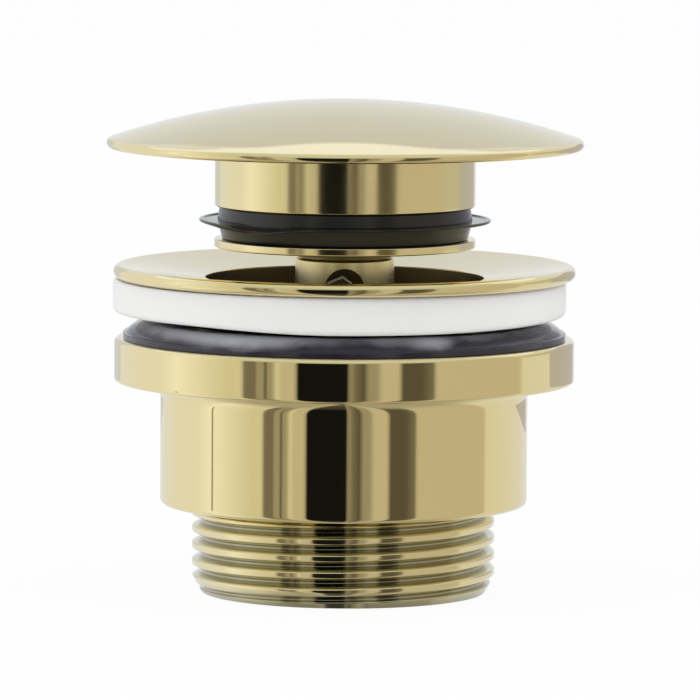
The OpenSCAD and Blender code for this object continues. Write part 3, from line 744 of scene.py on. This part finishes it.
# %% Domed cap
cap_r, boss_z, cap_top = turned_size("dome_cap")
CAP_EDGE = 0.68
CAP_RISE = 6.0
BOSS_R = 8.0
BOSS_ROOT = 3.0
STUD_R = 5.05
SOCKET_DEPTH = 7.4
rim_x = cap_r - CAP_EDGE
rim_z = cap_top - CAP_RISE
dome_r = (rim_x ** 2 + CAP_RISE ** 2 - CAP_EDGE ** 2) / (2 * CAP_RISE - 2 * CAP_EDGE)
dome_z = cap_top - dome_r
edge_angle = math.degrees(math.atan2(rim_x, rim_z - dome_z))
under_r = dome_r - 2 * CAP_EDGE
boss_angle = math.degrees(math.asin(BOSS_R / under_r))
cap_points = arc(0, dome_z, dome_r, 0, edge_angle, 60)
cap_points += arc(rim_x, rim_z, CAP_EDGE, edge_angle, edge_angle + 180, 28)[1:]
cap_points += arc(0, dome_z, under_r, edge_angle, boss_angle, 40)[1:]
cap_points += section_of([
    (BOSS_R, boss_z + BOSS_ROOT), (BOSS_R, boss_z, 0.3), (STUD_R, boss_z, 0.2),
    (STUD_R, boss_z + SOCKET_DEPTH, 0.1), (0, boss_z + SOCKET_DEPTH)], closed=False)
dome_cap = turned("gold_dome_cap", cap_points, gold, 224)
stands_for(dome_cap, "plug", "polished_gold", "dome_cap")

# %% [markdown]
# ## Neck, seal and holding disc
# Under the cap a plain turned neck leads to the rubber seal. The seal is softer than everything
# round it, so its thin lip droops at one place. The lip is a piece of its own; the real lip
# flattens when the plug is pressed down on the dish. A thin disc holds the seal from below.

# %% Neck
NECK_SKIRT = 0.5
CORE_R = 15.0
NECK_WALL = 2.0
neck_r, neck_bottom, neck_top = turned_size("plug_neck")
seal_reach, seal_bottom, seal_high = turned_size("plug_seal")
seal_top = seal_high - NECK_SKIRT
inner_r, floor_z = neck_r - NECK_WALL, seal_top + NECK_WALL
neck_points = section_of([
    (STUD_R, neck_bottom), (CORE_R, neck_bottom, 0.2), (CORE_R, seal_top, 0.1), (neck_r, seal_top, 0.3),
    (neck_r, neck_top, 0.25), (inner_r, neck_top, 0.25), (inner_r, floor_z, 0.3), (STUD_R, floor_z, 0.1)])
neck = turned("gold_plug_neck", neck_points, neck_gold)
stands_for(neck, "plug", "polished_gold", "plug_neck")

# %% Seal
SEAL_R = 17.3
SEAL_ROOT_R = 17.6
SEAL_FOOT_R = 16.95
SEAL_BORE_R = CORE_R + 0.05
LIP_Z = seal_bottom + 2.35
LIP_T = 0.4
seal_points = section_of([
    (SEAL_BORE_R, seal_bottom), (SEAL_FOOT_R, seal_bottom, 0.25), (SEAL_ROOT_R, LIP_Z, 0.3),
    (SEAL_ROOT_R, LIP_Z + LIP_T, 0.3), (SEAL_R, seal_top, 0.25), (SEAL_BORE_R, seal_top)])
seal = turned("rubber_plug_seal", seal_points, seal_rubber)
stands_for(seal, "plug", "black_rubber", "plug_seal")

# %% Seal lip
LIP_TRIM = 0.1
LIP_R = seal_reach - LIP_TRIM
LIP_ROOT_R = SEAL_ROOT_R - 0.6
LIP_BEAD = 0.55
LIP_DIP = 0.04
LIP_STEP = 0.16
LIP_DROOP = 0.95
LIP_PULL = 0.25
DROOP_AT = math.radians(-41)
DROOP_WIDTH = math.radians(17)
DROOP_BEND = 1.3
lip_top = LIP_Z + LIP_T
lip_points = section_of([
    (LIP_ROOT_R, LIP_Z), (LIP_R - LIP_BEAD, LIP_Z, 0.1), (LIP_R, LIP_Z - LIP_DIP, 0.2), (LIP_R, lip_top, 0.2),
    (LIP_R - LIP_BEAD, lip_top, 0.15), (LIP_R - LIP_BEAD - 0.1, lip_top - LIP_STEP, 0.1),
    (LIP_ROOT_R, lip_top - LIP_STEP)])
lip = turned("rubber_seal_lip", lip_points, lip_rubber, 224)
for vertex in lip.data.vertices:
    distance = math.hypot(vertex.co.x, vertex.co.y) / MM
    out = max(0.0, (distance - SEAL_ROOT_R) / (LIP_R - SEAL_ROOT_R))
    turn = math.atan2(vertex.co.x, -vertex.co.y)
    droop = math.exp(-((turn - DROOP_AT) / DROOP_WIDTH) ** 2) * out ** DROOP_BEND
    vertex.co.x *= 1.0 - LIP_PULL * droop / distance
    vertex.co.y *= 1.0 - LIP_PULL * droop / distance
    vertex.co.z -= LIP_DROOP * droop * MM
stands_for(lip, "plug", "black_rubber", "plug_seal")
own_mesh(lip)

# %% Holding disc
disc_r, disc_bottom, disc_top = turned_size("seal_disc")
disc_points = section_of([
    (STUD_R, disc_bottom, 0.1), (disc_r, disc_bottom, 0.2), (disc_r, disc_top, 0.2), (STUD_R, disc_top, 0.1)])
disc = turned("gold_seal_disc", disc_points, neck_gold)
stands_for(disc, "plug", "polished_gold", "seal_disc")

# %% [markdown]
# ## The barrel
# The click mechanism hides in a slim barrel. Its cross hole may take a bar for tightening. The
# hole is cut with a Boolean, and the wall's normals are then set straight out from the axis,
# because a cut face would otherwise bend the reflections round the hole.

# %% Barrel
COLLAR_H = 1.5
COLLAR_R = 6.4
STUD_FIT_R = STUD_R - 0.05
BORE_R = 5.3
ROOF_T = 5.85
CONE_ANGLE = math.radians(31)
barrel_r, barrel_z, stud_top = turned_size("mechanism_barrel")
barrel_top = disc_bottom - COLLAR_H
bore_top = barrel_top - ROOF_T
cone_top = bore_top + BORE_R * math.tan(CONE_ANGLE)
barrel_points = section_of([
    (0, stud_top), (STUD_FIT_R, stud_top, 0.5), (STUD_FIT_R, disc_bottom, 0.1), (COLLAR_R, disc_bottom, 0.15),
    (COLLAR_R, barrel_top, 0.1), (barrel_r, barrel_top, 0.35), (barrel_r, barrel_z, 0.35), (BORE_R, barrel_z, 0.2),
    (BORE_R, bore_top, 0.05), (0, cone_top)], closed=False)
barrel = turned("gold_mechanism_barrel", barrel_points, satin_gold, 192)
print("barrel from", round(barrel_z, 2), "to", round(stud_top, 2))

# %% Cross hole
HOLE_R = 2.7
HOLE_DROP = 3.75
DRILL_LENGTH = 40.0
hole_z = barrel_top - HOLE_DROP
across_barrel = Matrix.Translation((0, 0, hole_z * MM)) @ Matrix.Rotation(math.pi / 2, 4, "X")
cutter_mesh = bpy.data.meshes.new("cross_hole")
cutter_shape = bmesh.new()
bmesh.ops.create_cone(cutter_shape, cap_ends=True, segments=96, radius1=HOLE_R * MM, radius2=HOLE_R * MM,
                      depth=DRILL_LENGTH * MM, matrix=across_barrel)
cutter_shape.to_mesh(cutter_mesh)
cutter_shape.free()
cutter = new_object("cross_hole", cutter_mesh)
cut = barrel.modifiers.new("cross_hole", "BOOLEAN")
cut.operation = "DIFFERENCE"
cut.solver = "EXACT"
cut.object = cutter
drilled = bpy.data.meshes.new_from_object(barrel.evaluated_get(bpy.context.evaluated_depsgraph_get()))
barrel.modifiers.remove(cut)
barrel.data = drilled
bpy.data.objects.remove(cutter)
drilled.materials.clear()
drilled.materials.append(satin_gold)
for face in drilled.polygons:
    face.material_index = 0
    face.use_smooth = True
print("drilled faces:", len(drilled.polygons))

# %% Straight walls
SAME_WALL = 0.9
NEAR_WALL = 0.05
NEAR_HOLE = 0.03
UPRIGHT = 0.2
ACROSS = 0.3
DOWNWARD = -0.5


def straighten_walls(mesh, rules):
    """Sets exact normals on chosen faces. A rule takes a face's centre and normal and gives back
    None, or a function from a corner's place to its normal."""
    normals = [n.vector.copy() for n in mesh.corner_normals]
    for face in mesh.polygons:
        rule = rules(face.center, face.normal)
        for loop in face.loop_indices:
            spot = mesh.vertices[mesh.loops[loop].vertex_index].co
            if rule:
                normals[loop] = rule(spot)
            elif normals[loop].dot(face.normal) < SAME_WALL:
                normals[loop] = face.normal.copy()
    mesh.normals_split_custom_set([tuple(n) for n in normals])


def barrel_rule(centre, normal):
    """Which of the barrel's walls a face belongs to, and that wall's normals."""
    distance = math.hypot(centre.x, centre.y) / MM
    from_hole = math.hypot(centre.x, centre.z - hole_z * MM) / MM
    on_wall = abs(distance - barrel_r) < NEAR_WALL and abs(normal.z) < UPRIGHT
    in_hole = abs(from_hole - HOLE_R) < NEAR_HOLE and abs(normal.y) < ACROSS
    in_bore = abs(distance - BORE_R) < NEAR_WALL and abs(normal.z) < UPRIGHT
    in_cone = distance < BORE_R and bore_top < centre.z / MM < cone_top and normal.z < DOWNWARD
    if in_cone:
        return lambda p: Vector((0, 0, -1)) - Vector((p.x, p.y, 0)).normalized() * math.tan(CONE_ANGLE)
    if in_hole:
        return lambda p: Vector((-p.x, 0, hole_z * MM - p.z)).normalized()
    if on_wall:
        return lambda p: Vector((p.x, p.y, 0)).normalized()
    if in_bore:
        return lambda p: Vector((-p.x, -p.y, 0)).normalized()
    return None


straighten_walls(drilled, barrel_rule)
# Painted shade: the collar and stud above the barrel, its bore, its bottom and the walls of the cross hole take
# the dark gold
refinish(barrel, shade_painted_gold, lambda distance, height: height > barrel_top + 0.05 or (
    distance < barrel_r - 0.1 and height < barrel_top - 0.5))
stands_for(barrel, "plug", "polished_gold", "mechanism_barrel")

# %% [markdown]
# ## The tooth in the cross hole
# The photograph shows a pale upside-down V in the barrel's hole. What it is can't be seen, so the
# tip of a moulded tooth is a guess. It is a small plate whose upper edge is bevelled, so that the
# edge catches the light; the face below takes the dark gold as painted shade.

# %% Tooth in the hole
TOOTH_FRONT, TOOTH_BEVEL, TOOTH_BACK = -6.3, -6.05, -5.2
TOOTH_LEFT, TOOTH_TIP, TOOTH_RIGHT = -2.4, -0.25, 0.95
TOOTH_EDGE = 0.24
tooth_foot, tooth_eaves, tooth_ridge = hole_z - 1.5, hole_z + 0.75, hole_z + 1.62
roof = [(TOOTH_LEFT, tooth_eaves), (TOOTH_TIP, tooth_ridge), (TOOTH_RIGHT, tooth_eaves)]
feet = [(TOOTH_RIGHT, tooth_foot), (TOOTH_LEFT, tooth_foot)]
rings = [[(x, TOOTH_FRONT, z - TOOTH_EDGE) for x, z in roof] + [(x, TOOTH_FRONT, z) for x, z in feet]]
rings += [[(x, y, z) for x, z in roof + feet] for y in (TOOTH_BEVEL, TOOTH_BACK)]
corners = len(roof) + len(feet)
tooth_faces = [tuple(range(corners)), tuple(range(2 * corners, 3 * corners))]
tooth_faces += [(step * corners + i, step * corners + (i + 1) % corners,
                 (step + 1) * corners + (i + 1) % corners, (step + 1) * corners + i)
                for step in range(2) for i in range(corners)]
tooth = mesh_object("acetal_tooth", [spot for ring in rings for spot in ring], tooth_faces)
for material in (acetal, shade_painted_gold):
    tooth.data.materials.append(material)
# Painted shade: the tooth's front face takes the dark gold
tooth.data.polygons[0].material_index = 1
face_outwards(tooth)
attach(tooth, "plug")
print("tooth faces:", len(tooth.data.polygons))

# %% [markdown]
# ## The thread
# A pipe thread is one ridge wound round a cylinder. The tree lays the grid along the helix, so a
# row of points stays on the crest or in the root all the way, and the last column meets the first
# one a pitch higher. The ends are held at the bottom and top heights, where the ridge fades into
# the lead-in and the relief.

# %% Thread tree
FLOAT = "NodeSocketFloat"
CREST_FLAT, ROOT_FLAT = 0.26, 0.95
ROW_NUDGE = 0.0001
thread, given, result = geometry_tree("pipe_thread", [
    ("Steps", "NodeSocketInt"), ("Rows", "NodeSocketInt"), ("Turns", "NodeSocketInt"), ("Pitch", FLOAT),
    ("Start", FLOAT), ("Bottom", FLOAT), ("Top", FLOAT), ("Root", FLOAT), ("Depth", FLOAT),
    ("Lead", FLOAT), ("Relief", FLOAT)])
row_count = calc(thread, "ADD", calc(thread, "MULTIPLY", given["Rows"], given["Turns"]), 1.0)
grid = put(thread, "GeometryNodeMeshGrid", {"Vertices X": calc(thread, "ADD", given["Steps"], 1.0),
                                            "Vertices Y": row_count})
column, row = grid_numbers(thread, row_count)
turn = calc(thread, "DIVIDE", column, given["Steps"])
along = calc(thread, "DIVIDE", row, given["Rows"])
raw = calc(thread, "MULTIPLY_ADD", calc(thread, "ADD", along, turn), given["Pitch"], given["Start"])
height = calc(thread, "MINIMUM", calc(thread, "MAXIMUM", raw, given["Bottom"]), given["Top"])
crest = calc(thread, "ADD", given["Root"], given["Depth"])
in_turn = calc(thread, "FRACT", calc(thread, "ADD", along, ROW_NUDGE))
from_crest = calc(thread, "ABSOLUTE", calc(thread, "MULTIPLY_ADD", in_turn, 2.0, -1.0))
flank = remap(thread, from_crest, CREST_FLAT, ROOT_FLAT, 1.0, 0.0, "SMOOTHSTEP")
ridge = calc(thread, "MULTIPLY_ADD", flank, given["Depth"], given["Root"])
lead_end = calc(thread, "ADD", given["Bottom"], given["Lead"])
lead = remap(thread, height, given["Bottom"], lead_end, given["Root"], crest)
relief_start = calc(thread, "SUBTRACT", given["Top"], given["Relief"])
relief_end = calc(thread, "SUBTRACT", given["Top"], calc(thread, "MULTIPLY", given["Relief"], 0.5))
relief = remap(thread, height, relief_start, relief_end, crest, given["Root"])
radius = calc(thread, "MINIMUM", ridge, calc(thread, "MINIMUM", lead, relief))
angle = calc(thread, "MULTIPLY", turn, 2.0 * math.pi)
close_tree(thread, turn_to(thread, grid.outputs["Mesh"], angle, radius, height), given["Finish"], result)
print("thread nodes:", len(thread.nodes))

# %% Thread helper
PITCH = 2.309
THREAD_R = 20.955
THREAD_DEPTH = 1.479
ROOT_R = THREAD_R - THREAD_DEPTH
THREAD_STEPS = 160
THREAD_ROWS = 22
flange_r, shank_end, flange_top = turned_size("flange")


def wound(name, bottom, top, root, lead, relief, shift=0.0, depth=THREAD_DEPTH):
    """A thread between two heights. Its groove starts where the shank's does, plus a shift."""
    first = shank_end + shift
    first -= PITCH * (math.ceil((first - bottom) / PITCH) + 1)
    turns = math.ceil((top - first) / PITCH)
    sizes = {"Steps": THREAD_STEPS, "Rows": THREAD_ROWS, "Turns": turns, "Pitch": PITCH * MM, "Start": first * MM,
             "Bottom": bottom * MM, "Top": top * MM, "Root": root * MM, "Depth": depth * MM,
             "Lead": lead * MM, "Relief": relief * MM}
    return run_tree(name, thread, [(0, 0)], sizes, gold)


def joined(name, first, *others):
    """Makes one closed piece of several that meet along their edges."""
    shape = bmesh.new()
    for piece in (first, *others):
        shape.from_mesh(piece.data)
    shape.to_mesh(first.data)
    shape.free()
    for piece in others:
        bpy.data.objects.remove(piece)
    first.name = first.data.name = name
    return face_outwards(first)


# %% [markdown]
# ## The flange
# The flange is a wide shallow dish with a round rim. The dish leads water to the opening, and
# the threaded shank under it passes through the basin.

# %% Flange
RIM_T = 1.85
DISH_DROP = 1.7
OPENING_R = 19.25
THROAT_H = 3.4
SHANK_BORE_R = 18.4
THROAT_SLOPE = 0.6
BRIDGE_R = 18.75
BRIDGE_SEAT = 3.5
RIM_RUN = 1.0
bead_r = flange_r - RIM_T / 2
bead_z = flange_top - RIM_T / 2
opening_z = flange_top - DISH_DROP
slope = DISH_DROP / (bead_r - OPENING_R)
dish_angle = math.degrees(math.atan(slope))
under_shank = bead_z - RIM_T / 2 - (bead_r - ROOT_R) * slope
throat_z = opening_z - THROAT_H
seat_z = shank_end + BRIDGE_SEAT
flange_points = [Vector((ROOT_R, under_shank))]
flange_points += arc(bead_r, bead_z, RIM_T / 2, 180 - dish_angle, -dish_angle, 30)
flange_points += section_of([
    (bead_r - RIM_RUN, flange_top - RIM_RUN * slope), (OPENING_R, opening_z, 0.12), (OPENING_R, throat_z, 0.1),
    (SHANK_BORE_R, throat_z - THROAT_SLOPE, 0.3), (SHANK_BORE_R, seat_z), (BRIDGE_R, seat_z),
    (BRIDGE_R, shank_end, 0.1), (ROOT_R, shank_end)], closed=False)
flange_body = turned("flange_body", flange_points, gold, THREAD_STEPS)
shank_thread = wound("shank_thread", shank_end, under_shank, ROOT_R, 1.4, 2.4)
flange = joined("gold_flange", flange_body, shank_thread)
# Painted shade: the flange's throat and bore below the dish's opening take the dark gold
refinish(flange, shade_painted_gold, lambda distance, height:
         distance < OPENING_R + 0.02 and height < opening_z - 0.2)
stands_for(flange, "base", "polished_gold", "flange")

# %% [markdown]
# ## The gaskets
# Two gaskets grip the basin. The white one lies loose and a little off centre under the flange.
# The black one sits on the ring, with a low upright foot, a rounded shoulder and a small collar.
# Soft rubber is seldom level, so the white one's underside is pressed up, more at the left.

# %% White gasket
white_low, white_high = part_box("white_gasket")
white_centre = (white_low.x + white_high.x) / 2 / MM
WHITE_R = (white_high.x - white_low.x) / 2 / MM
WHITE_BORE_R = 21.905
white_bottom, white_top = white_low.z / MM, bead_z - RIM_T / 2
white_drop = (WHITE_R - WHITE_BORE_R) * slope + 0.15
white_points = section_of([
    (WHITE_BORE_R, white_bottom, 0.4), (WHITE_R, white_bottom, 0.7), (WHITE_R, white_top, 0.6),
    (WHITE_R - 1.2, white_top - 0.2, 0.3), (WHITE_BORE_R, white_top - white_drop, 0.3)])
white = turned("white_basin_gasket", white_points, white_plastic, 192)

# %% Squeeze of the white gasket
LEFT_SQUEEZE, RIGHT_SQUEEZE = 0.62, 0.30
LEFT_OVER = 45.0
RIGHT_FROM, RIGHT_OVER = 15.0, 75.0
REAR_FROM, REAR_OVER = 110.0, 70.0


def ease(value):
    """A smooth step from 0 to 1."""
    held = min(1.0, max(0.0, value))
    return held * held * (3.0 - 2.0 * held)


def squeeze(turn):
    """How far the soft gasket's underside is pressed up, by degrees from the front."""
    if turn > 0.0:
        return RIGHT_SQUEEZE * ease((turn - RIGHT_FROM) / RIGHT_OVER)
    rear = ease((-turn - REAR_FROM) / REAR_OVER)
    return LEFT_SQUEEZE * ease(-turn / LEFT_OVER) * (1.0 - rear) + RIGHT_SQUEEZE * rear


for vertex in white.data.vertices:
    turn = math.degrees(math.atan2(vertex.co.x, -vertex.co.y))
    down = (white_top - vertex.co.z / MM) / (white_top - white_bottom)
    out = (math.hypot(vertex.co.x, vertex.co.y) / MM - WHITE_BORE_R) / (WHITE_R - WHITE_BORE_R)
    vertex.co.z += squeeze(turn) * down * max(0.0, out) * MM
    vertex.co.x += white_centre * MM
stands_for(white, "base", "white_gasket", "white_gasket")

# %% Black gasket
BLACK_BORE_R = 21.43
SHOULDER_R = 3.9
FOOT_H = 0.78
GRIP_H = 0.42
black_r, black_bottom, black_top = turned_size("black_gasket")
foot_z, grip_z = black_bottom + FOOT_H, black_top + GRIP_H
shoulder_z = black_top - SHOULDER_R
shoulder_x = black_r - math.sqrt(SHOULDER_R ** 2 - (black_bottom - shoulder_z) ** 2)
foot_angle = math.degrees(math.acos((foot_z - shoulder_z) / SHOULDER_R))
black_points = section_of([
    (BLACK_BORE_R, grip_z), (BLACK_BORE_R, black_bottom, 0.1), (black_r, black_bottom, 0.08),
    (black_r, foot_z, 0.15), (black_r - 0.3, foot_z)], closed=False)
black_points += arc(shoulder_x, shoulder_z, SHOULDER_R, foot_angle, 0, 24)
black_points += section_of([
    (shoulder_x - 0.4, black_top), (BLACK_BORE_R + 1.4, black_top, 0.5), (BLACK_BORE_R + 1.0, grip_z, 0.2),
    (BLACK_BORE_R, grip_z)], closed=False)
black = turned("rubber_basin_gasket", black_points, gasket_rubber, 192)
stands_for(black, "clamp", "black_rubber", "black_gasket")

# %% [markdown]
# ## The body
# Ring, sleeve and threaded tail are turned from one bar. The ring's and sleeve's edges are broken
# with small rounds, which catch the light as thin bright lines. The inside has the thread that
# runs on the flange's shank.

# %% Tail body
SLEEVE_R = 25.4
RING_H = 6.0
SLEEVE_H = 17.0
TAIL_BORE_R = 17.8
THREAD_GAP = 0.14
TAIL_DEPTH = 1.25
TAIL_ROOT_R = THREAD_R - TAIL_DEPTH
COVE_R = 2.1
LEDGE_GAP = 0.2
ring_r, _, tail_top = turned_size("tail_body")
sleeve_z = tail_top - RING_H - SLEEVE_H
ring_z = tail_top - RING_H
ledge_z = shank_end - LEDGE_GAP
female_r = ROOT_R + THREAD_GAP
outer_points = section_of([
    (TAIL_ROOT_R, sleeve_z), (SLEEVE_R, sleeve_z, 0.7), (SLEEVE_R, ring_z, COVE_R), (ring_r, ring_z, 0.5),
    (ring_r, tail_top, 0.7), (female_r, tail_top)], closed=False, steps=10)
inner_points = section_of([
    (female_r, ledge_z), (TAIL_BORE_R, ledge_z, 0.2), (TAIL_BORE_R, 0.0, 0.3), (TAIL_ROOT_R, 0.0)], closed=False)
outer = run_tree("outer", lathe, outer_points, {"Steps": THREAD_STEPS}, gold)
inner = run_tree("inner", lathe, inner_points, {"Steps": THREAD_STEPS}, gold)
tail_thread = wound("tail_thread", 0.0, sleeve_z, TAIL_ROOT_R, 2.3, 0.9, PITCH / 2, TAIL_DEPTH)
body_thread = wound("body_thread", ledge_z, tail_top, female_r, 0.5, 0.5, PITCH / 2)
tail = joined("gold_tail_body", outer, inner, tail_thread, body_thread)
# The outer thread takes the gold with painted shade in its roots
refinish(tail, thread_gold_shaded_roots, lambda distance, height:
         distance > TAIL_ROOT_R - 0.3 and height < sleeve_z - 0.02)
stands_for(tail, "tail", "polished_gold", "tail_body")

# %% [markdown]
# ## The return spring
# The spring that lifts the plug hides in the barrel. It is a wire swept along a spiral, at the
# length of the imported spring. The real spring shortens by the plug's travel when the plug is
# pressed down, while its foot stays in place.

# %% Return spring
coil, given, result = geometry_tree("coil", [
    ("Turns", FLOAT), ("Radius", FLOAT), ("Length", FLOAT), ("Foot", FLOAT), ("Wire", FLOAT)])
spiral = put(coil, "GeometryNodeCurveSpiral", {
    "Resolution": 48, "Rotations": given["Turns"], "Start Radius": given["Radius"], "End Radius": given["Radius"],
    "Height": given["Length"]})
lifted = put(coil, "GeometryNodeSetPosition", {
    "Geometry": spiral.outputs[0], "Offset": put(coil, "ShaderNodeCombineXYZ", {2: given["Foot"]}).outputs[0]})
round_wire = put(coil, "GeometryNodeCurvePrimitiveCircle", {"Resolution": 12, "Radius": given["Wire"]})
swept = put(coil, "GeometryNodeCurveToMesh", {
    "Curve": lifted.outputs[0], "Profile Curve": round_wire.outputs[0], "Fill Caps": True})
close_tree(coil, swept.outputs[0], given["Finish"], result)

spring_low, spring_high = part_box("return_spring")
WIRE_R = 0.275
SPRING_TURNS = 5.5
spring_length = (spring_high.z - spring_low.z) / MM
spring = face_outwards(run_tree("steel_return_spring", coil, [(0, 0)], {
    "Turns": SPRING_TURNS, "Radius": spring_high.x - WIRE_R * MM, "Length": (spring_length - 2 * WIRE_R) * MM,
    "Foot": spring_low.z + WIRE_R * MM, "Wire": WIRE_R * MM}, steel))
stands_for(spring, "base", "steel", "return_spring")
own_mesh(spring)
print("spring length:", round(spring_length, 2))

# %% [markdown]
# ## Pieces inside
# The bridge, stem, nut and the small parts of the click mechanism show only from below or not at
# all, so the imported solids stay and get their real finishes.

# %% Inner finishes
INNER = {
    "mechanism_bridge": brass, "stem": brass, "stem_lock_washer": steel, "stem_locknut": steel,
    "upper_cam": acetal, "lower_cam": acetal, "index_rotor": acetal, "barrel_circlip": steel,
    "stem_wiper": seal_rubber, "spring_seat_washer": steel, "rotor_e_clip": steel,
}
for node_name, material in INNER.items():
    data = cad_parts[node_name].data
    data.materials.clear()
    data.materials.append(material)
print("kept solids:", len(INNER))
